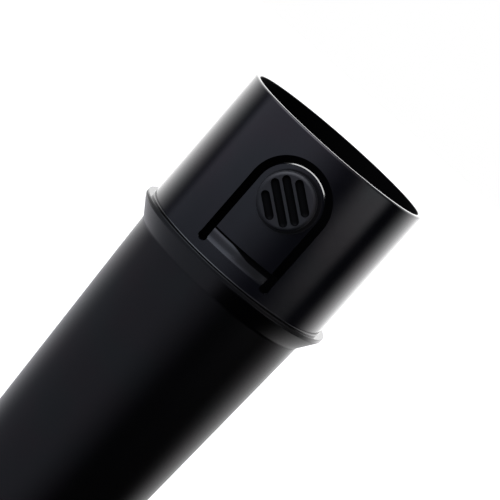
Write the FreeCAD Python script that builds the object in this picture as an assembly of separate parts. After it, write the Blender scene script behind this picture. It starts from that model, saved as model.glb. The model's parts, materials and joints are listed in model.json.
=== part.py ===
import FreeCAD, Part
import math
import os

# Spigot that slides into the blower: a plain round sleeve with a thin wall
SPIGOT_OD = 80.0
SPIGOT_LENGTH = 57.8
WALL = 2.0
MOUTH_OUTER_ROUND = 0.8
MOUTH_INNER_ROUND = 0.4

# Stop flange below the spigot: a narrow rim that stands out from it, with a conical underside
FLANGE_STEP = 2.6
FLANGE_RIM = 1.7
FLANGE_EDGE = 0.25
FLANGE_FILLET = 0.5
FLARE_LENGTH = 7.4

# Blow pipe: starts this far inside the spigot's outline and tapers to a straight cut outlet
NECK_STEP = 2.45
NECK_FILLET = 2.0
PIPE_LENGTH = 273.1
OUTLET_OD = 50.0
OUTLET_EDGE = 0.6

# Thumb button: a flat disc on the latch tongue, with slanted grip grooves inside a plain rim
BUTTON_DIAMETER = 21.4
BUTTON_RISE = 1.6
BUTTON_EDGE = 1.4
BUTTON_ROOT = 0.3
GROOVE_WIDTH = 3.1
GROOVE_PITCH = 4.14
GROOVE_SHIFT = -0.5
GROOVE_DEPTH = 1.5
GROOVE_SLANT_DEG = 38.0
GROOVE_RIM = 1.45

# Latch tongue around the button, with edges that lean, freed by a U-shaped slot, narrower at its tip
TONGUE_MARGIN = 1.9
TONGUE_DRAFT_DEG = 6.0
SLOT_GAP = 3.5
SLOT_TIP_GAP = 3.05
SLOT_FOOT_BULGE = 0.15
MOUTH_LAND = 7.3
FLANGE_LAND = 3.5

# Living hinge across the tongue's root: a narrow notch at its top, then a slightly wavy ramp outwards
HINGE_RISE = 5.5
HINGE_WIDTH = 5.6
HINGE_WALL = 0.6
NOTCH_WIDTH = 0.6
RAMP_DEPTH = 0.95
RAMP_WAVE = 0.05

# Largest share of a wall, and fixed share of a groove's width, that one edge rounding takes
ROUND_SHARE = 0.4

# How close counts as touching
TOUCH = 1e-3

# Radii and heights that follow from the sizes above
SPIGOT_R = SPIGOT_OD / 2
BORE_R = SPIGOT_R - WALL
FLANGE_R = SPIGOT_R + FLANGE_STEP
NECK_R = SPIGOT_R - NECK_STEP
OUTLET_R = OUTLET_OD / 2
BUTTON_R = BUTTON_DIAMETER / 2
BUTTON_FACE_Y = -(SPIGOT_R + BUTTON_RISE)
TONGUE_R = BUTTON_R + TONGUE_MARGIN
SLOT_R = TONGUE_R + SLOT_GAP
SLOT_FOOT_R = SLOT_GAP / 2 + SLOT_FOOT_BULGE
NECK_Z = PIPE_LENGTH
RIM_Z = NECK_Z + FLARE_LENGTH
STOP_Z = RIM_Z + FLANGE_RIM
MOUTH_Z = STOP_Z + SPIGOT_LENGTH
LATCH_Z = MOUTH_Z - MOUTH_LAND - SLOT_R
TONGUE_TIP_Z = LATCH_Z + SLOT_GAP - SLOT_TIP_GAP
SLOT_FOOT_Z = STOP_Z + FLANGE_LAND + SLOT_FOOT_R
HINGE_FOOT_Z = STOP_Z + HINGE_RISE
HINGE_TOP_Z = HINGE_FOOT_Z + HINGE_WIDTH

ORIGIN = FreeCAD.Vector(0, 0, 0)
UP = FreeCAD.Vector(0, 0, 1)
INWARD = FreeCAD.Vector(0, 1, 0)
OUTWARD = FreeCAD.Vector(0, -1, 0)


def within_wall(rounding):
    """An edge rounding, no larger than the wall can take."""
    return min(rounding, ROUND_SHARE * WALL)


def rounded_corner(before, corner, after, rounding):
    """Start, middle and end of the arc that rounds one corner of an outline."""
    to_before = (before - corner).normalize()
    to_after = (after - corner).normalize()
    half_angle = to_before.getAngle(to_after) / 2
    setback = rounding / math.tan(half_angle)
    inset = rounding / math.sin(half_angle) - rounding
    middle = corner + (to_before + to_after).normalize() * inset
    return corner + to_before * setback, middle, corner + to_after * setback


def rounded_outline(corners):
    """Closed wire in the XZ plane through corners given as radius, height and rounding."""
    points = [FreeCAD.Vector(r, 0, z) for r, z, _ in corners]
    edges = []
    ends = []
    for i, (_, _, rounding) in enumerate(corners):
        if rounding == 0:
            ends.append((points[i], points[i]))
            continue
        after = points[(i + 1) % len(points)]
        start, middle, end = rounded_corner(points[i - 1], points[i], after, rounding)
        edges.append(Part.Arc(start, middle, end).toShape())
        ends.append((start, end))
    for i in range(len(corners)):
        edges.append(Part.makeLine(ends[i - 1][1], ends[i][0]))
    return Part.Wire(Part.sortEdges(edges)[0])


def make_tube():
    """Hollow body of revolution: spigot, stop flange with its flare, and tapering blow pipe."""
    outline = rounded_outline([
        (OUTLET_R, 0, within_wall(OUTLET_EDGE)),
        (NECK_R, NECK_Z, NECK_FILLET),
        (FLANGE_R, RIM_Z, FLANGE_EDGE),
        (FLANGE_R, STOP_Z, FLANGE_EDGE),
        (SPIGOT_R, STOP_Z, FLANGE_FILLET),
        (SPIGOT_R, MOUTH_Z, within_wall(MOUTH_OUTER_ROUND)),
        (BORE_R, MOUTH_Z, within_wall(MOUTH_INNER_ROUND)),
        (BORE_R, STOP_Z, 0),
        (NECK_R - WALL, NECK_Z, 0),
        (OUTLET_R - WALL, 0, within_wall(OUTLET_EDGE)),
    ])
    return Part.Face(outline).revolve(ORIGIN, UP, 360)


def front_cylinder(radius, x, z):
    """Round cutter from clear of the spigot's front, through its front wall."""
    return Part.makeCylinder(radius, SPIGOT_R, FreeCAD.Vector(x, BUTTON_FACE_Y, z), INWARD)


def arch_outline(half_width, centre_z, y):
    """Closed wire across the front: straight sides with a round top, like an arched window."""
    left_top = FreeCAD.Vector(-half_width, y, centre_z)
    top = FreeCAD.Vector(0, y, centre_z + half_width)
    right_top = FreeCAD.Vector(half_width, y, centre_z)
    right_foot = FreeCAD.Vector(half_width, y, SLOT_FOOT_Z)
    left_foot = FreeCAD.Vector(-half_width, y, SLOT_FOOT_Z)
    round_top = Part.Arc(left_top, top, right_top).toShape()
    sides = Part.makePolygon([right_top, right_foot, left_foot, left_top])
    return Part.Wire([round_top] + sides.Edges)


def arch_prism(half_width, centre_z, draft_deg):
    """Arched cutter through the front wall, of the given width at its front and wider inwards."""
    spread = math.tan(math.radians(draft_deg))
    back_y = BUTTON_FACE_Y + SPIGOT_R
    front = arch_outline(half_width - spread * BUTTON_RISE, centre_z, BUTTON_FACE_Y)
    back = arch_outline(half_width + spread * (SPIGOT_R + back_y), centre_z, back_y)
    return Part.makeLoft([front, back], True, True)


def make_slot():
    """U-shaped gap around the tongue, each leg ending in a round strain relief."""
    tongue = arch_prism(TONGUE_R, TONGUE_TIP_Z, TONGUE_DRAFT_DEG)
    slot = arch_prism(SLOT_R, LATCH_Z, 0).cut(tongue)
    leg_x = (SLOT_R + TONGUE_R) / 2
    for x in (-leg_x, leg_x):
        slot = slot.fuse(front_cylinder(SLOT_FOOT_R, x, SLOT_FOOT_Z))
    return slot


def make_hinge_channel():
    """Channel that thins the tongue's root, from leg to leg of the slot."""
    notch_foot_z = HINGE_TOP_Z - NOTCH_WIDTH
    notch = FreeCAD.Vector(BORE_R + HINGE_WALL, 0, HINGE_TOP_Z)
    notch_foot = FreeCAD.Vector(BORE_R + HINGE_WALL, 0, notch_foot_z)
    ramp_top = FreeCAD.Vector(SPIGOT_R - RAMP_DEPTH, 0, notch_foot_z)
    ramp_foot = FreeCAD.Vector(SPIGOT_R, 0, HINGE_FOOT_Z)
    ramp_middle = (ramp_top + ramp_foot) / 2
    wave = FreeCAD.Vector(RAMP_WAVE, 0, 0)
    swell = Part.Arc(ramp_top, (ramp_top + ramp_middle) / 2 + wave, ramp_middle).toShape()
    hollow = Part.Arc(ramp_middle, (ramp_middle + ramp_foot) / 2 - wave, ramp_foot).toShape()
    clear_foot = FreeCAD.Vector(FLANGE_R, 0, HINGE_FOOT_Z)
    clear_top = FreeCAD.Vector(FLANGE_R, 0, HINGE_TOP_Z)
    sides = Part.makePolygon([ramp_foot, clear_foot, clear_top, notch, notch_foot, ramp_top])
    section = Part.Face(Part.Wire([swell, hollow] + sides.Edges))
    half_sweep = math.degrees(math.asin((SLOT_R + TONGUE_R) / 2 / SPIGOT_R))
    section.rotate(ORIGIN, UP, -90 - half_sweep)
    return section.revolve(ORIGIN, UP, 2 * half_sweep)


def edge_middle(edge):
    """Point halfway along an edge."""
    return edge.valueAt((edge.FirstParameter + edge.LastParameter) / 2)


def on_button_root(edge):
    """True for the edge where the button's side meets the tongue."""
    middle = edge_middle(edge)
    on_spigot = middle.y < 0 and abs(math.hypot(middle.x, middle.y) - SPIGOT_R) < TOUCH
    from_centre = math.hypot(middle.x, middle.z - LATCH_Z)
    return on_spigot and abs(from_centre - BUTTON_R) < TOUCH


def make_button():
    """Thumb button: a disc with a rounded face edge, reaching back to the bore."""
    centre = FreeCAD.Vector(0, 0, LATCH_Z)
    disc = Part.makeCylinder(BUTTON_R, SPIGOT_R + BUTTON_RISE, centre, OUTWARD)
    face_edge = [e for e in disc.Edges if e.BoundBox.YMax < BUTTON_FACE_Y + TOUCH]
    disc = disc.makeFillet(BUTTON_EDGE, face_edge)
    return disc.cut(Part.makeCylinder(BORE_R, SPIGOT_LENGTH, FreeCAD.Vector(0, 0, STOP_Z)))


def make_groove(offset):
    """One grip groove, cut into the button's face, with round ends and a rounded floor."""
    half_width = GROOVE_WIDTH / 2
    half_run = math.sqrt((BUTTON_R - GROOVE_RIM - half_width) ** 2 - offset ** 2)
    height = 2 * GROOVE_DEPTH
    corner = FreeCAD.Vector(-half_run, -GROOVE_DEPTH, -half_width)
    groove = Part.makeBox(2 * half_run, height, GROOVE_WIDTH, corner)
    for x in (-half_run, half_run):
        end = FreeCAD.Vector(x, -GROOVE_DEPTH, 0)
        groove = groove.fuse(Part.makeCylinder(half_width, height, end, INWARD))
    groove = groove.removeSplitter()
    floor_edges = [e for e in groove.Edges if e.BoundBox.YMin > GROOVE_DEPTH - TOUCH]
    groove = groove.makeFillet(ROUND_SHARE * GROOVE_WIDTH, floor_edges)
    groove.translate(FreeCAD.Vector(0, 0, offset))
    groove.rotate(ORIGIN, INWARD, GROOVE_SLANT_DEG)
    groove.translate(FreeCAD.Vector(0, BUTTON_FACE_Y, LATCH_Z))
    return groove


def make_grooves():
    """As many grooves as fit the button's face, the shortest at least square."""
    end_r = BUTTON_R - GROOVE_RIM - GROOVE_WIDTH / 2
    widest = math.sqrt(end_r ** 2 - GROOVE_WIDTH ** 2) - abs(GROOVE_SHIFT)
    count = 1 + int(2 * widest / GROOVE_PITCH)
    first = GROOVE_SHIFT - GROOVE_PITCH * (count - 1) / 2
    return [make_groove(first + i * GROOVE_PITCH) for i in range(count)]


def make_nozzle_tube():
    """The whole moulding in one piece."""
    body = make_tube().cut(make_slot()).cut(make_hinge_channel())
    body = body.fuse(make_button()).removeSplitter()
    button_root = [e for e in body.Edges if on_button_root(e)]
    body = body.makeFillet(BUTTON_ROOT, button_root)
    return body.cut(make_grooves()).removeSplitter()


os.makedirs("parts", exist_ok=True)
nozzle_tube = make_nozzle_tube()
nozzle_tube.exportStep("parts/nozzle_tube.step")
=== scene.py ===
import json
import math

import bmesh
import bpy
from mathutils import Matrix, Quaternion, Vector


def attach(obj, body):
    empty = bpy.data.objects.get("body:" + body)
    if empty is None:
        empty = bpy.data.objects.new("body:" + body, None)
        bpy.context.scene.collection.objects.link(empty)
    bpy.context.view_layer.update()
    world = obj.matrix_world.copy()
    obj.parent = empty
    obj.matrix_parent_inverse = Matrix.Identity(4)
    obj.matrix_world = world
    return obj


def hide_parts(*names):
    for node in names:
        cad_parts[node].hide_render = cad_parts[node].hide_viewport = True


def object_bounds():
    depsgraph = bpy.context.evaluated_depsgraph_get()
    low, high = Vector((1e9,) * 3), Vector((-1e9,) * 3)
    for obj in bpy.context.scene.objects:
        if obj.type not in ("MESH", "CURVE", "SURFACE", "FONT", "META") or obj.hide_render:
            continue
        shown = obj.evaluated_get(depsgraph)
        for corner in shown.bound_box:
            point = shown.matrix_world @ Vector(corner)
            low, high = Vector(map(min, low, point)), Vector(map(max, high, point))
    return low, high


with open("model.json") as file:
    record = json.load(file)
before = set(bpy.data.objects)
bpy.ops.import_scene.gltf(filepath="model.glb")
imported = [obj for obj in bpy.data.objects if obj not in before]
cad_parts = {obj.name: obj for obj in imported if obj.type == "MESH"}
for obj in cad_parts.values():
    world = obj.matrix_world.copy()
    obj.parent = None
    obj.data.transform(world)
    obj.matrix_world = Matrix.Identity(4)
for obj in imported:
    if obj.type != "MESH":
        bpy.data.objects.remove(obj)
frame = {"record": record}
cad_low, cad_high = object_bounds()

# Places that the frame gives, in metres
mounts = {mount["name"]: mount for mount in frame["record"]["mounts"]}
SPIGOT_RADIUS = mounts["spigot"]["dims"]["r_mm"] / 1000
BORE_RADIUS = mounts["mouth_bore"]["dims"]["r_mm"] / 1000
STOP_Z = mounts["stop_face"]["pos_m"][2]
FOOT_Z = cad_low.z
MOUTH_Z = cad_high.z

# Camera of the photograph: metres and degrees, with azimuth 0 straight in front of the latch
AIM_BELOW_MOUTH = 0.0511
AIM_SIDE = 0.00063
CAMERA_DISTANCE = 0.7577
CAMERA_AZIMUTH = 1.4
CAMERA_ELEVATION = 8.86
CAMERA_ROLL = 41.25
LENS_MM = 147.3
SENSOR_MM = 36.0

# Sizes of the moulding that the frame's record doesn't give, in metres
OUTLET_RADIUS = 0.025
OUTLET_EDGE = 0.0006
NECK_STEP = 0.00245
NECK_FILLET = 0.002
FLARE_LENGTH = 0.0074
FLANGE_STEP = 0.0026
FLANGE_RIM = 0.0017
FLANGE_EDGE = 0.00025
FLANGE_FILLET = 0.0005
MOUTH_OUTER_ROUND = 0.0008
MOUTH_INNER_ROUND = 0.0004
LATCH_BELOW_MOUTH = 0.0234
BUTTON_RADIUS = 0.0107
BUTTON_RISE = 0.0016
BUTTON_EDGE = 0.0014
BUTTON_BACK = 0.0383
GROOVE_COUNT = 4
GROOVE_WIDTH = 0.0031
GROOVE_PITCH = 0.00414
GROOVE_SHIFT = -0.0005
GROOVE_DEPTH = 0.0015
GROOVE_FLOOR_ROUND = 0.4 * GROOVE_WIDTH
GROOVE_RIM = 0.00145
GROOVE_SLANT = math.radians(38)
TONGUE_MARGIN = 0.0019
TONGUE_DRAFT = math.radians(6)
SLOT_GAP = 0.0035
SLOT_TIP_GAP = 0.00305
SLOT_FOOT_BULGE = 0.00015
FLANGE_LAND = 0.0035
HINGE_RISE = 0.0055
HINGE_WIDTH = 0.0056
HINGE_WALL = 0.0006
NOTCH_WIDTH = 0.0006
RAMP_DEPTH = 0.00095
RAMP_WAVE = 0.00005

# Heights and places that follow from these
RIM_Z = STOP_Z - FLANGE_RIM
NECK_Z = RIM_Z - FLARE_LENGTH
NECK_RADIUS = SPIGOT_RADIUS - NECK_STEP
FLANGE_RADIUS = SPIGOT_RADIUS + FLANGE_STEP
WALL = SPIGOT_RADIUS - BORE_RADIUS
LATCH_Z = MOUTH_Z - LATCH_BELOW_MOUTH
BUTTON_FACE_Y = -SPIGOT_RADIUS - BUTTON_RISE
TONGUE_RADIUS = BUTTON_RADIUS + TONGUE_MARGIN
SLOT_RADIUS = TONGUE_RADIUS + SLOT_GAP
TONGUE_TIP_Z = LATCH_Z + SLOT_GAP - SLOT_TIP_GAP
LEG_X = (TONGUE_RADIUS + SLOT_RADIUS) / 2
SLOT_FOOT_RADIUS = SLOT_GAP / 2 + SLOT_FOOT_BULGE
SLOT_FOOT_Z = STOP_Z + FLANGE_LAND + SLOT_FOOT_RADIUS
HINGE_FOOT_Z = STOP_Z + HINGE_RISE
HINGE_TOP_Z = HINGE_FOOT_Z + HINGE_WIDTH

# How finely round shapes are divided, when an edge stays sharp, and how far a cutter stands clear
TURN_STEPS = 360
CORNER_STEPS = 12
RAMP_STEPS = 24
ARC_STEPS = 64
SHARP_ANGLE = math.radians(12)
CLEARANCE = 0.0002

# Black plastic: colours and roughness of its finishes and of its painted shade, and sizes of its unevenness
# in metres
TEXTURED_DARK = (0.0008, 0.0008, 0.0011, 1)
TEXTURED_LIGHT = (0.0016, 0.0016, 0.0020, 1)
POLISHED_DARK = (0.0034, 0.0036, 0.0054, 1)
POLISHED_LIGHT = (0.0048, 0.0050, 0.0074, 1)
# Painted shade: the dark colour put on the inside and in narrow places, where shade falls
PAINTED_SHADE_COLOUR = (0.0008, 0.0008, 0.0010, 1)
GLOSS_ROUGHNESS = (0.11, 0.17)
MATTE_ROUGHNESS = (0.19, 0.25)
BUTTON_ROUGHNESS = (0.42, 0.54)
# Roughness of the painted shade
PAINTED_SHADE_ROUGHNESS = 0.6
OUTSIDE_SHEEN = 0.5
# Specular level of the painted shade, which also dims reflections there
PAINTED_SHADE_SHEEN = 0.02
VIOLET_TINT = (1.0, 0.94, 1.0, 1)
TEAL_TINT = (0.92, 1.0, 1.03, 1)
TINT_SIZE = 0.03
TINT_DETAIL = 2
TINT_LIMITS = (0.35, 0.65)
GRAIN_SIZE = 0.0004
GRAIN_DETAIL = 2
GRAIN_DEPTH = 0.000004
HAZE_SIZE = 0.012
HAZE_DETAIL = 3
HAZE_DEPTH = 0.00002
NOISE_ROUGHNESS = 0.55

# Painted shade on the inside: how far a wall's normal points away from the axis, where the painted shade
# starts and is full
INSIDE_FACING = (-0.1, -0.4)

# Painted shade in the moulding's narrow places: its reach in metres, and how dark it is, up to 1
MASK_BORDER = 0.00025
GROOVE_SHADE = 0.0006
GROOVE_DARKNESS = 0.92
FOOT_SHADE_REACH = 0.0008
FOOT_SHADE_X = 0.0006
FOOT_SHADE_Z = 0.0003
FOOT_DARKNESS = 0.75
# Painted shade on the hinge
NOTCH_SHADE = 0.0002
WEDGE_SHADE = 0.0014
WEDGE_HALF_RUN = 0.005
RAMP_SHADE_X = (0.002, 0.009)
RAMP_SHADE_BORDER = 0.006
RAMP_SHADE_DEPTH = RAMP_DEPTH / 3
RAMP_DARKNESS = 0.5
HOLLOW_SHADE_DROP = (0.00364, 0.00224)
HOLLOW_SHADE_BORDER = 0.0008
HOLLOW_DARKNESS = 0.35
# Painted shade on the flange
FLANGE_SHADE_X = (0.031, 0.039)
STOP_SHADE_BELOW = FLANGE_EDGE / 4
STOP_SHADE_ABOVE = FLANGE_FILLET / 8
STOP_SHADE_BORDER = FLANGE_EDGE / 2
RIM_SHADE_INSET = 2 * FLANGE_EDGE
RIM_DARKNESS = 0.5

# Light tent round the part: its size in metres and steps, and the radiance of its lit parts
TENT_RADIUS = 10.0
TENT_STEPS_ROUND = 96
TENT_STEPS_UP = 48
BACK_RIGHT = 1.95
BACK_RIGHT_LOW = 0.7
BACK_LEFT = 1.8
BACK_LEFT_LOW = 0.4
RIGHT_PATCH = 0.95
RIGHT_PATCH_LOW = 0.32
LOW_PATCH = 0.18
FRONT_PATCH = 0.32
TOP_RIGHT = 0.4
TOP_LEFT = 1.6
LEFT_LOW = 0.27
LEFT_MIDDLE = 0.56
LEFT_HIGH = 1.5
LEFT_TINT = (0.97, 0.97, 1.12, 1)

# Sides of the lit parts, from dim to bright, in degrees to the right of straight in front of the latch
BACK_RIGHT_SIDE = (101, 146)
BACK_LEFT_SIDE = (-98, -146)
RIGHT_INNER_SIDE = (21, 45)
RIGHT_OUTER_SIDE = (93, 76)
LOW_INNER_SIDE = (84, 106)
LOW_OUTER_SIDE = (140, 115)
FRONT_LEFT_SIDE = (-30, 5)
FRONT_RIGHT_SIDE = (62, 40)
LEFT_INNER_SIDE = (35, -28)
LEFT_OUTER_SIDE = (-105, -90)

# Slant of the right patch's inner side: degrees further to the right for each degree below the horizon
RIGHT_SLANT = 3

# Levels of the lit parts, from dim to bright, in degrees above the horizon
BACK_FOOT = (-60, -20)
BACK_RISE = (-13, -9)
BACK_TOP = (62, 40)
RIGHT_FOOT = (-10.4, -8.9)
RIGHT_RISE = (-7.2, -5.4)
RIGHT_TOP = (8, 0)
LOW_FOOT = (-20, -14)
LOW_TOP = (-10.5, -12.5)
FRONT_FOOT = (-2, 5)
FRONT_TOP = (18, 9)
TOP_FOOT = (12, 40)
LEFT_FOOT = (-14, -9.5)
LEFT_RISE = (-10.5, -5)
LEFT_UPPER_RISE = (0, 20)

# Change across the tent's top, from dim to bright, in metres from its middle
TOP_ACROSS_X = (4.0, -5.0)
TOP_BACK_Y = (1.5, -1.0)

# Pale floor: sizes in metres, its colour, and its glow
FLOOR_HALF_SIZE = 6.0
FLOOR_GAP = 0.0002
FLOOR_COLOUR = (0.8, 0.8, 0.8, 1)
FLOOR_GLOW = 0.35


def arc(centre, radius, start, end, steps):
    """Points along an arc in a plane, from one angle to another in degrees."""
    points = []
    for i in range(steps + 1):
        angle = math.radians(start + (end - start) * i / steps)
        points.append((centre[0] + radius * math.cos(angle), centre[1] + radius * math.sin(angle)))
    return points


def rounded_corner(before, corner, after, rounding):
    """Points along the arc that rounds one corner of an outline."""
    to_before = (before - corner).normalized()
    to_after = (after - corner).normalized()
    half_angle = to_before.angle(to_after) / 2
    centre = corner + (to_before + to_after).normalized() * (rounding / math.sin(half_angle))
    setback = rounding / math.tan(half_angle)
    first = (corner + to_before * setback - centre).normalized()
    last = (corner + to_after * setback - centre).normalized()
    return [centre + first.slerp(last, i / CORNER_STEPS) * rounding for i in range(CORNER_STEPS + 1)]


def rounded_outline(corners):
    """Points round a closed outline, from corners given as radius, height and rounding."""
    places = [Vector((radius, height)) for radius, height, _ in corners]
    points = []
    for i, (_, _, rounding) in enumerate(corners):
        if rounding == 0:
            points.append(places[i])
        else:
            points += rounded_corner(places[i - 1], places[i], places[(i + 1) % len(places)], rounding)
    return points


def turned(outline, azimuth):
    """An outline of radius and height, turned to an azimuth in degrees from the latch."""
    angle = math.radians(azimuth)
    return [(radius * math.sin(angle), -radius * math.cos(angle), height) for radius, height in outline]


def solid_from_rings(name, rings, closed=False):
    """Object with each ring of points joined to the next, either closed to a loop or capped at its ends."""
    shape = bmesh.new()
    loops = [[shape.verts.new(point) for point in ring] for ring in rings]
    pairs = list(zip(loops, loops[1:]))
    if closed:
        pairs.append((loops[-1], loops[0]))
    else:
        shape.faces.new(loops[0])
        shape.faces.new(loops[-1])
    for ring, following in pairs:
        for i in range(len(ring)):
            shape.faces.new((ring[i - 1], ring[i], following[i], following[i - 1]))
    bmesh.ops.recalc_face_normals(shape, faces=shape.faces)
    mesh = bpy.data.meshes.new(name)
    shape.to_mesh(mesh)
    shape.free()
    made = bpy.data.objects.new(name, mesh)
    bpy.context.scene.collection.objects.link(made)
    return made


def make_body():
    """Hollow body of revolution: spigot, stop flange with its flare, and tapering blow pipe."""
    outline = rounded_outline([
        (OUTLET_RADIUS, FOOT_Z, OUTLET_EDGE),
        (NECK_RADIUS, NECK_Z, NECK_FILLET),
        (FLANGE_RADIUS, RIM_Z, FLANGE_EDGE),
        (FLANGE_RADIUS, STOP_Z, FLANGE_EDGE),
        (SPIGOT_RADIUS, STOP_Z, FLANGE_FILLET),
        (SPIGOT_RADIUS, MOUTH_Z, MOUTH_OUTER_ROUND),
        (BORE_RADIUS, MOUTH_Z, MOUTH_INNER_ROUND),
        (BORE_RADIUS, STOP_Z, 0),
        (NECK_RADIUS - WALL, NECK_Z, 0),
        (OUTLET_RADIUS - WALL, FOOT_Z, OUTLET_EDGE),
    ])
    rings = [turned(outline, 360 * i / TURN_STEPS) for i in range(TURN_STEPS)]
    return solid_from_rings("nozzle_tube_fine", rings, closed=True)


def slot_outline(y):
    """Outline of the U-shaped gap at one depth. The tongue widens inwards, and each leg has a round foot."""
    tongue = TONGUE_RADIUS + math.tan(TONGUE_DRAFT) * (SPIGOT_RADIUS + y)
    outer_turn = math.degrees(math.acos((SLOT_RADIUS - LEG_X) / SLOT_FOOT_RADIUS))
    inner_turn = math.degrees(math.acos((LEG_X - tongue) / SLOT_FOOT_RADIUS))
    right_foot = arc((LEG_X, SLOT_FOOT_Z), SLOT_FOOT_RADIUS, outer_turn, -180 - inner_turn, ARC_STEPS // 2)
    left_foot = [(-x, z) for x, z in reversed(right_foot)]
    outline = arc((0, LATCH_Z), SLOT_RADIUS, 180, 0, ARC_STEPS) + right_foot
    outline += arc((0, TONGUE_TIP_Z), tongue, 0, 180, ARC_STEPS) + left_foot
    return [(x, y, z) for x, z in outline]


def make_slot():
    """Cutter for the U-shaped gap round the tongue, from clear of the front to clear of the bore."""
    depths = (-SPIGOT_RADIUS - CLEARANCE, -SPIGOT_RADIUS / 2)
    return solid_from_rings("slot", [slot_outline(y) for y in depths])


def make_hinge_channel():
    """Cutter for the channel at the tongue's root: a notch at its top, then a slightly wavy ramp."""
    notch_foot_z = HINGE_TOP_Z - NOTCH_WIDTH
    outline = [(BORE_RADIUS + HINGE_WALL, HINGE_TOP_Z), (BORE_RADIUS + HINGE_WALL, notch_foot_z)]
    for i in range(RAMP_STEPS + 1):
        share = i / RAMP_STEPS
        depth = RAMP_DEPTH * (1 - share) - RAMP_WAVE * math.sin(2 * math.pi * share)
        outline.append((SPIGOT_RADIUS - depth, notch_foot_z + (HINGE_FOOT_Z - notch_foot_z) * share))
    outline += [(FLANGE_RADIUS, HINGE_FOOT_Z), (FLANGE_RADIUS, HINGE_TOP_Z)]
    half_sweep = math.degrees(math.asin(LEG_X / SPIGOT_RADIUS))
    azimuths = [half_sweep * (2 * i / ARC_STEPS - 1) for i in range(ARC_STEPS + 1)]
    return solid_from_rings("hinge_channel", [turned(outline, azimuth) for azimuth in azimuths])


def make_button():
    """Thumb button: a disc with a rounded face edge, reaching back into the tongue."""
    face_edge = (BUTTON_RADIUS - BUTTON_EDGE, BUTTON_FACE_Y + BUTTON_EDGE)
    side = arc(face_edge, BUTTON_EDGE, -90, 0, CORNER_STEPS) + [(BUTTON_RADIUS, -BUTTON_BACK)]
    rings = []
    for radius, y in side:
        circle = arc((0, LATCH_Z), radius, 0, 360, 2 * ARC_STEPS)
        rings.append([(x, y, z) for x, z in circle[:-1]])
    return solid_from_rings("button", rings)


def make_groove(offset):
    """Cutter for one grip groove, with round ends and a rounded floor."""
    half_width = GROOVE_WIDTH / 2
    half_run = math.sqrt((BUTTON_RADIUS - GROOVE_RIM - half_width) ** 2 - offset ** 2)
    rounding = GROOVE_FLOOR_ROUND
    floor_edge = (half_width - rounding, BUTTON_FACE_Y + GROOVE_DEPTH - rounding)
    side = [(half_width, BUTTON_FACE_Y - GROOVE_DEPTH)] + arc(floor_edge, rounding, 0, 90, CORNER_STEPS)
    rings = []
    for reach, y in side:
        outline = arc((half_run, offset), reach, -90, 90, ARC_STEPS // 2)
        outline += arc((-half_run, offset), reach, 90, 270, ARC_STEPS // 2)
        rings.append([
            (
                along * math.cos(GROOVE_SLANT) + across * math.sin(GROOVE_SLANT),
                y,
                LATCH_Z - along * math.sin(GROOVE_SLANT) + across * math.cos(GROOVE_SLANT),
            )
            for along, across in outline
        ])
    return solid_from_rings("groove", rings)


def combine(body, other, operation):
    """Cuts another solid out of the body or joins it on, and removes the other."""
    change = body.modifiers.new(other.name, "BOOLEAN")
    change.operation = operation
    change.solver = "EXACT"
    change.object = other
    before = body.data
    changed = bpy.data.meshes.new_from_object(body.evaluated_get(bpy.context.evaluated_depsgraph_get()))
    body.modifiers.clear()
    body.data = changed
    bpy.data.meshes.remove(before)
    bpy.data.meshes.remove(other.data)


def make_nozzle_tube():
    """The moulding in one piece, finely divided, in the CAD part's form and place."""
    body = make_body()
    for cutter in (make_slot(), make_hinge_channel()):
        combine(body, cutter, "DIFFERENCE")
    combine(body, make_button(), "UNION")
    for i in range(GROOVE_COUNT):
        combine(body, make_groove(GROOVE_SHIFT + GROOVE_PITCH * (i - (GROOVE_COUNT - 1) / 2)), "DIFFERENCE")
    body.data.shade_smooth()
    body.data.set_sharp_from_angle(angle=SHARP_ANGLE)
    even = body.modifiers.new("even_shading", "WEIGHTED_NORMAL")
    even.keep_sharp = True
    return body


def add_node(tree, kind, settings=None, inputs=None):
    """Adds a shader node. An input given as a socket is linked, and any other value is set."""
    node = tree.nodes.new(kind)
    for name, value in (settings or {}).items():
        setattr(node, name, value)
    for name, value in (inputs or {}).items():
        if isinstance(value, bpy.types.NodeSocket):
            tree.links.new(value, node.inputs[name])
        else:
            node.inputs[name].default_value = value
    return node


def math_node(tree, operation, first, second=0.0):
    """The result of a math operation on two numbers or sockets."""
    return add_node(tree, "ShaderNodeMath", {"operation": operation}, {0: first, 1: second}).outputs[0]


def smooth_step(tree, value, start, end):
    """0 before start and 1 after end, with a soft change between them. Start may lie above end."""
    low, high = min(start, end), max(start, end)
    to_low, to_high = (0.0, 1.0) if start < end else (1.0, 0.0)
    return add_node(
        tree, "ShaderNodeMapRange", {"interpolation_type": "SMOOTHSTEP"},
        {"Value": value, "From Min": low, "From Max": high, "To Min": to_low, "To Max": to_high},
    ).outputs["Result"]


def between(tree, factor, low, high):
    """A number from low to high, as factor goes from 0 to 1. Both ends may be sockets."""
    return add_node(
        tree, "ShaderNodeMix", {"data_type": "FLOAT"}, {"Factor": factor, "A": low, "B": high}
    ).outputs["Result"]


def new_material(name):
    """An empty node material and its output node."""
    material = bpy.data.materials.new(name)
    material.use_nodes = True
    tree = material.node_tree
    tree.nodes.clear()
    return material, tree, tree.nodes.new("ShaderNodeOutputMaterial")


def noise(tree, place, size, detail):
    """Noise between about 0 and 1 with features of one size, in metres."""
    return add_node(
        tree, "ShaderNodeTexNoise", {"noise_dimensions": "3D"},
        {"Vector": place, "Scale": 1 / size, "Detail": detail, "Roughness": NOISE_ROUGHNESS},
    ).outputs["Fac"]


def product(tree, *factors):
    """The product of numbers or sockets."""
    result = factors[0]
    for factor in factors[1:]:
        result = math_node(tree, "MULTIPLY", result, factor)
    return result


def colour_between(tree, factor, first, second):
    """A colour from first to second, as factor goes from 0 to 1. Both ends may be sockets."""
    return add_node(
        tree, "ShaderNodeMix", {"data_type": "RGBA"}, {"Factor": factor, "A": first, "B": second}
    ).outputs["Result"]


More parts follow.
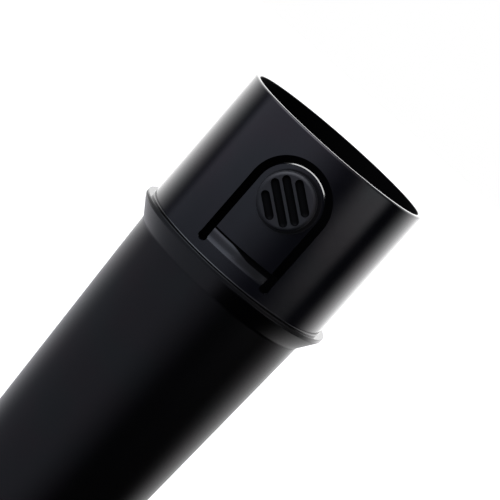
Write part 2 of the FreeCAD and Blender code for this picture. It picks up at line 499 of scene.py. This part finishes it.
def inside_shade_mask(tree, place):
    """Mask for painted shade: 1 on the walls that face the tube's axis, 0 on the outside."""
    flat = add_node(
        tree, "ShaderNodeVectorMath", {"operation": "MULTIPLY"}, {0: place, 1: (1, 1, 0)}
    ).outputs["Vector"]
    outward = add_node(tree, "ShaderNodeVectorMath", {"operation": "NORMALIZE"}, {0: flat}).outputs["Vector"]
    normal = add_node(tree, "ShaderNodeNewGeometry").outputs["Normal"]
    facing = add_node(
        tree, "ShaderNodeVectorMath", {"operation": "DOT_PRODUCT"}, {0: outward, 1: normal}
    ).outputs["Value"]
    return smooth_step(tree, facing, *INSIDE_FACING)


def distance(tree, first, second):
    """The length of the diagonal over two sides."""
    squares = math_node(tree, "ADD", math_node(tree, "POWER", first, 2), math_node(tree, "POWER", second, 2))
    return math_node(tree, "SQRT", squares)


def window(tree, value, low, high, border):
    """1 between two limits, with a soft border outside both."""
    above_low = smooth_step(tree, value, low - border, low)
    below_high = smooth_step(tree, value, high + border, high)
    return product(tree, above_low, below_high)


def button_masks(tree, axes, in_front):
    """Two masks: 1 on the thumb button, and the painted shade in its grip grooves and round its foot."""
    rise = math_node(tree, "SUBTRACT", axes["Z"], LATCH_Z)
    from_centre = distance(tree, axes["X"], rise)
    in_circle = smooth_step(tree, from_centre, BUTTON_RADIUS + MASK_BORDER, BUTTON_RADIUS)
    button = product(tree, in_circle, in_front)
    below_face = smooth_step(tree, axes["Y"], BUTTON_FACE_Y, BUTTON_FACE_Y + GROOVE_SHADE)
    in_face = smooth_step(tree, from_centre, BUTTON_RADIUS - BUTTON_EDGE / 2, BUTTON_RADIUS - BUTTON_EDGE)
    grooves = product(tree, button, below_face, in_face, GROOVE_DARKNESS)
    shade_x = math_node(tree, "SUBTRACT", axes["X"], FOOT_SHADE_X)
    shade_rise = math_node(tree, "SUBTRACT", rise, FOOT_SHADE_Z)
    from_shade = distance(tree, shade_x, shade_rise)
    reach = BUTTON_RADIUS + FOOT_SHADE_REACH
    near_foot = smooth_step(tree, from_shade, reach + MASK_BORDER, reach - MASK_BORDER)
    beside_button = math_node(tree, "SUBTRACT", 1.0, button)
    foot = product(tree, near_foot, beside_button, in_front, FOOT_DARKNESS)
    return button, math_node(tree, "MAXIMUM", grooves, foot)


def hinge_shade_mask(tree, axes, in_front):
    """Painted shade on the hinge: full in its notch, wider to the right, and weaker on parts of the ramp,
    where it stands in for dark reflections.
    """
    from_axis = distance(tree, axes["X"], axes["Y"])
    sunken = smooth_step(tree, from_axis, SPIGOT_RADIUS, SPIGOT_RADIUS - RAMP_SHADE_DEPTH)
    to_right = smooth_step(tree, axes["X"], -WEDGE_HALF_RUN, WEDGE_HALF_RUN)
    raised_z = math_node(tree, "ADD", axes["Z"], product(tree, to_right, WEDGE_SHADE))
    shade_foot_z = HINGE_TOP_Z - NOTCH_WIDTH - NOTCH_SHADE
    notch = smooth_step(tree, raised_z, shade_foot_z - MASK_BORDER, shade_foot_z)
    foot_drop, top_drop = HOLLOW_SHADE_DROP
    in_hollow = window(
        tree, axes["Z"], HINGE_TOP_Z - foot_drop, HINGE_TOP_Z - top_drop, HOLLOW_SHADE_BORDER
    )
    hollow = product(tree, in_hollow, HOLLOW_DARKNESS)
    at_right = window(tree, axes["X"], *RAMP_SHADE_X, RAMP_SHADE_BORDER)
    ramp = math_node(tree, "MAXIMUM", hollow, product(tree, at_right, RAMP_DARKNESS))
    in_channel = window(tree, axes["Z"], HINGE_FOOT_Z, HINGE_TOP_Z, MASK_BORDER)
    return product(tree, math_node(tree, "MAXIMUM", notch, ramp), sunken, in_channel, in_front)


def flange_shade_mask(tree, axes):
    """Painted shade on the stop face, except at both ends, and weaker on the rim, except at its right end."""
    side, end = FLANGE_SHADE_X
    between_ends = smooth_step(tree, math_node(tree, "ABSOLUTE", axes["X"]), end, side)
    left_of_end = smooth_step(tree, axes["X"], end, side)
    on_stop = window(tree, axes["Z"], STOP_Z - STOP_SHADE_BELOW, STOP_Z + STOP_SHADE_ABOVE, STOP_SHADE_BORDER)
    on_rim = window(tree, axes["Z"], RIM_Z + RIM_SHADE_INSET, STOP_Z - RIM_SHADE_INSET, FLANGE_EDGE)
    stop_face = product(tree, on_stop, between_ends)
    rim = product(tree, on_rim, left_of_end, RIM_DARKNESS)
    return math_node(tree, "MAXIMUM", stop_face, rim)


def make_black_plastic():
    """Black moulding: polished above the stop face, satin on the button, with a fine texture below, and
    painted shade on the inside and in narrow places.
    """
    material, tree, output = new_material("black_plastic")
    place = add_node(tree, "ShaderNodeTexCoord").outputs["Object"]
    axes = add_node(tree, "ShaderNodeSeparateXYZ", inputs={"Vector": place}).outputs
    gloss = smooth_step(tree, axes["Z"], STOP_Z - FLANGE_EDGE / 2, STOP_Z)
    grain = noise(tree, place, GRAIN_SIZE, GRAIN_DETAIL)
    haze = noise(tree, place, HAZE_SIZE, HAZE_DETAIL)
    tint = smooth_step(tree, noise(tree, place, TINT_SIZE, TINT_DETAIL), *TINT_LIMITS)
    in_front = smooth_step(tree, axes["Y"], 0.0, -SPIGOT_RADIUS / 2)
    # Painted shade: on the inside, in the grooves, round the button's foot, in the hinge and on the flange
    button, button_shade = button_masks(tree, axes, in_front)
    shade = inside_shade_mask(tree, place)
    for other_shade in (button_shade, hinge_shade_mask(tree, axes, in_front), flange_shade_mask(tree, axes)):
        shade = math_node(tree, "MAXIMUM", shade, other_shade)
    polished = between(tree, haze, *GLOSS_ROUGHNESS)
    satin = between(tree, grain, *BUTTON_ROUGHNESS)
    textured = between(tree, grain, *MATTE_ROUGHNESS)
    roughness = between(tree, gloss, textured, between(tree, button, polished, satin))
    colour = colour_between(
        tree, gloss,
        colour_between(tree, haze, TEXTURED_DARK, TEXTURED_LIGHT),
        colour_between(tree, haze, POLISHED_DARK, POLISHED_LIGHT),
    )
    height = between(tree, gloss, product(tree, grain, GRAIN_DEPTH), product(tree, haze, HAZE_DEPTH))
    bump = add_node(tree, "ShaderNodeBump", inputs={"Strength": 1.0, "Distance": 1.0, "Height": height})
    # Where the painted shade reaches, it sets a dark colour, more roughness and less sheen
    shader = add_node(
        tree, "ShaderNodeBsdfPrincipled",
        inputs={
            "Base Color": colour_between(tree, shade, colour, PAINTED_SHADE_COLOUR),
            "Roughness": between(tree, shade, roughness, PAINTED_SHADE_ROUGHNESS),
            "Specular IOR Level": between(tree, shade, OUTSIDE_SHEEN, PAINTED_SHADE_SHEEN),
            "Specular Tint": colour_between(tree, tint, VIOLET_TINT, TEAL_TINT),
            "Normal": bump.outputs["Normal"],
        },
    )
    tree.links.new(shader.outputs["BSDF"], output.inputs["Surface"])
    return material


def add_object(name, mesh, material):
    """Puts a studio object with one material into the scene."""
    mesh.materials.append(material)
    made = bpy.data.objects.new(name, mesh)
    bpy.context.scene.collection.objects.link(made)
    return made


def angle_step(tree, angle, start, end):
    """A soft change from 0 to 1 between two directions in degrees, for an angle in radians."""
    return smooth_step(tree, angle, math.radians(start), math.radians(end))


def lit_part(tree, *borders):
    """1 inside all borders of a part of the tent. Each is an angle, and two directions from dim to bright."""
    return product(tree, *(angle_step(tree, angle, *directions) for angle, directions in borders))


def back_light(tree, azimuth, level):
    """Radiance of the tent's back: its right and left half, both dimmer low down."""
    lit = lit_part(tree, (level, BACK_FOOT), (level, BACK_TOP))
    raised = angle_step(tree, level, *BACK_RISE)
    on_right = angle_step(tree, azimuth, *BACK_RIGHT_SIDE)
    on_left = angle_step(tree, azimuth, *BACK_LEFT_SIDE)
    right = product(tree, on_right, between(tree, raised, BACK_RIGHT_LOW, BACK_RIGHT))
    left = product(tree, on_left, between(tree, raised, BACK_LEFT_LOW, BACK_LEFT))
    return product(tree, lit, math_node(tree, "ADD", right, left))


def patch_light(tree, azimuth, level):
    """Radiance of three soft patches: at the right, low at the right, and in front."""
    slanted = math_node(tree, "ADD", azimuth, product(tree, level, RIGHT_SLANT))
    on_right = lit_part(
        tree,
        (slanted, RIGHT_INNER_SIDE), (azimuth, RIGHT_OUTER_SIDE), (level, RIGHT_FOOT), (level, RIGHT_TOP),
    )
    raised = angle_step(tree, level, *RIGHT_RISE)
    right = product(tree, on_right, between(tree, raised, RIGHT_PATCH_LOW, RIGHT_PATCH))
    low = lit_part(
        tree,
        (azimuth, LOW_INNER_SIDE), (azimuth, LOW_OUTER_SIDE), (level, LOW_FOOT), (level, LOW_TOP),
    )
    front = lit_part(
        tree,
        (azimuth, FRONT_LEFT_SIDE), (azimuth, FRONT_RIGHT_SIDE), (level, FRONT_FOOT), (level, FRONT_TOP),
    )
    others = math_node(tree, "ADD", product(tree, low, LOW_PATCH), product(tree, front, FRONT_PATCH))
    return math_node(tree, "ADD", right, others)


def top_light(tree, axes, level):
    """Radiance of the tent's top, brighter to the left and dark behind the part."""
    to_left = smooth_step(tree, axes["X"], *TOP_ACROSS_X)
    in_front = smooth_step(tree, axes["Y"], *TOP_BACK_Y)
    raised = angle_step(tree, level, *TOP_FOOT)
    return product(tree, raised, in_front, between(tree, to_left, TOP_RIGHT, TOP_LEFT))


def left_light(tree, azimuth, level):
    """Radiance of the tent's left side, brighter upwards. Only its dim foot reaches round to the back."""
    risen = between(tree, angle_step(tree, level, *LEFT_RISE), LEFT_LOW, LEFT_MIDDLE)
    upright = between(tree, angle_step(tree, level, *LEFT_UPPER_RISE), risen, LEFT_HIGH)
    above_foot = product(tree, angle_step(tree, azimuth, *LEFT_OUTER_SIDE), upright)
    side = between(tree, angle_step(tree, level, *LEFT_FOOT), LEFT_LOW, above_foot)
    return product(tree, side, angle_step(tree, azimuth, *LEFT_INNER_SIDE))


def make_tent_light():
    """Light of the tent: white behind, above and in soft patches, bluish at the left, dark between."""
    material, tree, output = new_material("tent_light")
    place = add_node(tree, "ShaderNodeTexCoord").outputs["Object"]
    axes = add_node(tree, "ShaderNodeSeparateXYZ", inputs={"Vector": place}).outputs
    azimuth = math_node(tree, "ARCTAN2", axes["X"], product(tree, axes["Y"], -1))
    level = math_node(tree, "ARCSINE", product(tree, axes["Z"], 1 / TENT_RADIUS))
    white = top_light(tree, axes, level)
    for light in (back_light(tree, azimuth, level), patch_light(tree, azimuth, level)):
        white = math_node(tree, "ADD", white, light)
    white_glow = add_node(tree, "ShaderNodeEmission", inputs={"Strength": white})
    left = left_light(tree, azimuth, level)
    left_glow = add_node(tree, "ShaderNodeEmission", inputs={"Color": LEFT_TINT, "Strength": left})
    both = add_node(tree, "ShaderNodeAddShader", inputs={0: white_glow.outputs[0], 1: left_glow.outputs[0]})
    tree.links.new(both.outputs["Shader"], output.inputs["Surface"])
    return material


def add_studio():
    """White surround, and a light tent that shows only in reflections and shading."""
    world = bpy.data.worlds.new("surround")
    world.use_nodes = True
    background = world.node_tree.nodes["Background"]
    background.inputs["Color"].default_value = (1, 1, 1, 1)
    background.inputs["Strength"].default_value = 1.0
    bpy.context.scene.world = world

    ball = bmesh.new()
    bmesh.ops.create_uvsphere(
        ball, u_segments=TENT_STEPS_ROUND, v_segments=TENT_STEPS_UP, radius=TENT_RADIUS
    )
    tent_mesh = bpy.data.meshes.new("light_tent")
    ball.to_mesh(tent_mesh)
    ball.free()
    tent = add_object("light_tent", tent_mesh, make_tent_light())
    tent.location = (0, 0, LATCH_Z)
    tent.visible_camera = False


def add_floor():
    """Pale floor that shows white where the part doesn't shade it."""
    material, tree, output = new_material("pale_floor")
    rays = add_node(tree, "ShaderNodeLightPath").outputs
    seen = math_node(tree, "MAXIMUM", rays["Is Camera Ray"], rays["Is Glossy Ray"])
    seen = math_node(tree, "MAXIMUM", seen, rays["Is Transmission Ray"])
    paint = add_node(tree, "ShaderNodeBsdfDiffuse", inputs={"Color": FLOOR_COLOUR})
    glow = add_node(
        tree, "ShaderNodeEmission", inputs={"Strength": math_node(tree, "MULTIPLY", seen, FLOOR_GLOW)}
    )
    both = add_node(tree, "ShaderNodeAddShader", inputs={0: paint.outputs[0], 1: glow.outputs[0]})
    tree.links.new(both.outputs["Shader"], output.inputs["Surface"])

    size = FLOOR_HALF_SIZE
    height = FOOT_Z - FLOOR_GAP
    mesh = bpy.data.meshes.new("floor")
    corners = [(-size, -size, height), (size, -size, height), (size, size, height), (-size, size, height)]
    mesh.from_pydata(corners, [], [(0, 1, 2, 3)])
    floor = add_object("floor", mesh, material)
    floor.visible_diffuse = False
    floor.visible_glossy = False
    floor.visible_shadow = False


def add_camera():
    """The photograph's view of the latch, rolled so that the tube leans to the right."""
    azimuth = math.radians(CAMERA_AZIMUTH)
    elevation = math.radians(CAMERA_ELEVATION)
    back = Vector((
        math.sin(azimuth) * math.cos(elevation),
        -math.cos(azimuth) * math.cos(elevation),
        math.sin(elevation),
    ))
    camera = bpy.data.objects.new("camera", bpy.data.cameras.new("camera"))
    camera.data.lens = LENS_MM
    camera.data.sensor_width = SENSOR_MM
    camera.location = Vector((AIM_SIDE, 0, MOUTH_Z - AIM_BELOW_MOUTH)) + back * CAMERA_DISTANCE
    camera.rotation_mode = "QUATERNION"
    roll = Quaternion((0, 0, 1), math.radians(CAMERA_ROLL))
    camera.rotation_quaternion = (-back).to_track_quat("-Z", "Y") @ roll
    bpy.context.scene.collection.objects.link(camera)
    bpy.context.scene.camera = camera


tube = make_nozzle_tube()
tube.data.materials.append(make_black_plastic())
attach(tube, "root")
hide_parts("nozzle_tube")

add_studio()
add_floor()
add_camera()
bpy.context.scene.view_settings.view_transform = "Standard"
